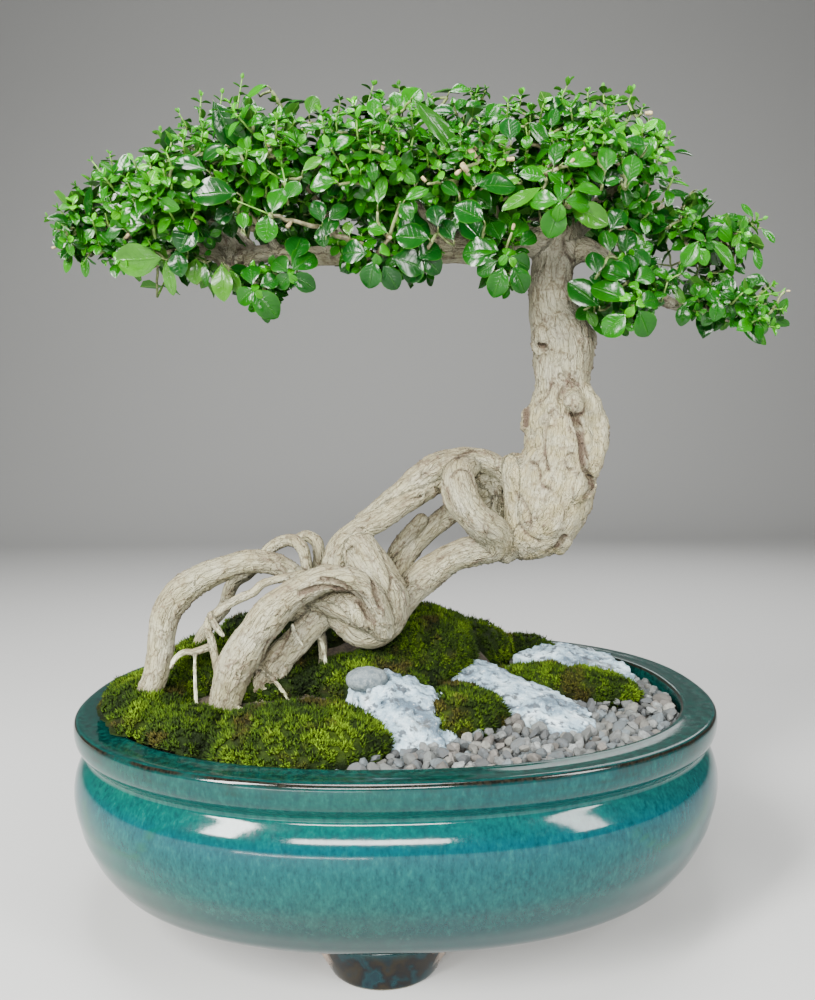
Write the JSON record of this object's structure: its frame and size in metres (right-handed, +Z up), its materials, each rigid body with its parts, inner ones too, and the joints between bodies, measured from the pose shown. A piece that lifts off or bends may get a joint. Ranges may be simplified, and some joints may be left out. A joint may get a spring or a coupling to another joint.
{
  "type": "potted bonsai tree",
  "caption": "Premna bonsai with a braided, exposed-root trunk and a spreading leafy crown, in an oval teal-glazed footed pot with moss, rocks and gravel.",
  "frame": {"origin": "middle of the whole plant's bounding box, on the surface the pot's feet stand on", "axes": "+Z up, +X to the right along the pot's long axis, -Y towards the front of the pot"},
  "size_m": [0.3844, 0.2486, 0.395],
  "materials": {
    "pot_glaze": "gloss",
    "bark": "matte",
    "leaf": "satin",
    "moss": "matte",
    "soil": "matte",
    "gravel": "matte",
    "rock": "matte",
    "screen": "matte"
  },
  "bodies": {
    "root": {"pot": "pot_glaze", "drain_screen_left": "screen", "drain_screen_right": "screen", "soil": "soil", "gravel_bed": "gravel", "rock_front": "rock", "rock_middle": "rock", "rock_back": "rock", "moss_far_left": "moss", "moss_left_slope": "moss", "moss_front_left": "moss", "moss_front": "moss", "moss_under_roots": "moss", "moss_centre": "moss", "moss_back_hill": "moss", "moss_right": "moss", "moss_front_middle": "moss", "moss_back_left": "moss", "moss_left_back": "moss", "moss_back_tuft": "moss", "moss_hill_back": "moss", "moss_back": "moss", "tree_trunk": "bark", "tree_arch": "bark", "tree_knot": "bark", "tree_hook": "bark", "tree_root_low": "bark", "tree_root_left": "bark", "tree_root_loop_back": "bark", "tree_root_loop_far": "bark", "tree_root_thin": "bark", "tree_branch_left": "bark", "tree_branch_right_upper": "bark", "tree_branch_right_lower": "bark", "foliage_left_tip": "leaf", "foliage_left_front": "leaf", "foliage_left_back": "leaf", "foliage_midleft_front": "leaf", "foliage_midleft_back": "leaf", "foliage_middle_front": "leaf", "foliage_middle_back": "leaf", "foliage_midright_front": "leaf", "foliage_midright_back": "leaf", "foliage_crown_front": "leaf", "foliage_crown_back": "leaf", "foliage_crown_right": "leaf", "foliage_left_under": "leaf", "foliage_hanging_left": "leaf", "foliage_hanging_middle": "leaf", "foliage_hanging_trunk": "leaf", "foliage_right_hanging": "leaf", "foliage_right_middle": "leaf", "foliage_right_low": "leaf"}
  },
  "joints": []
}
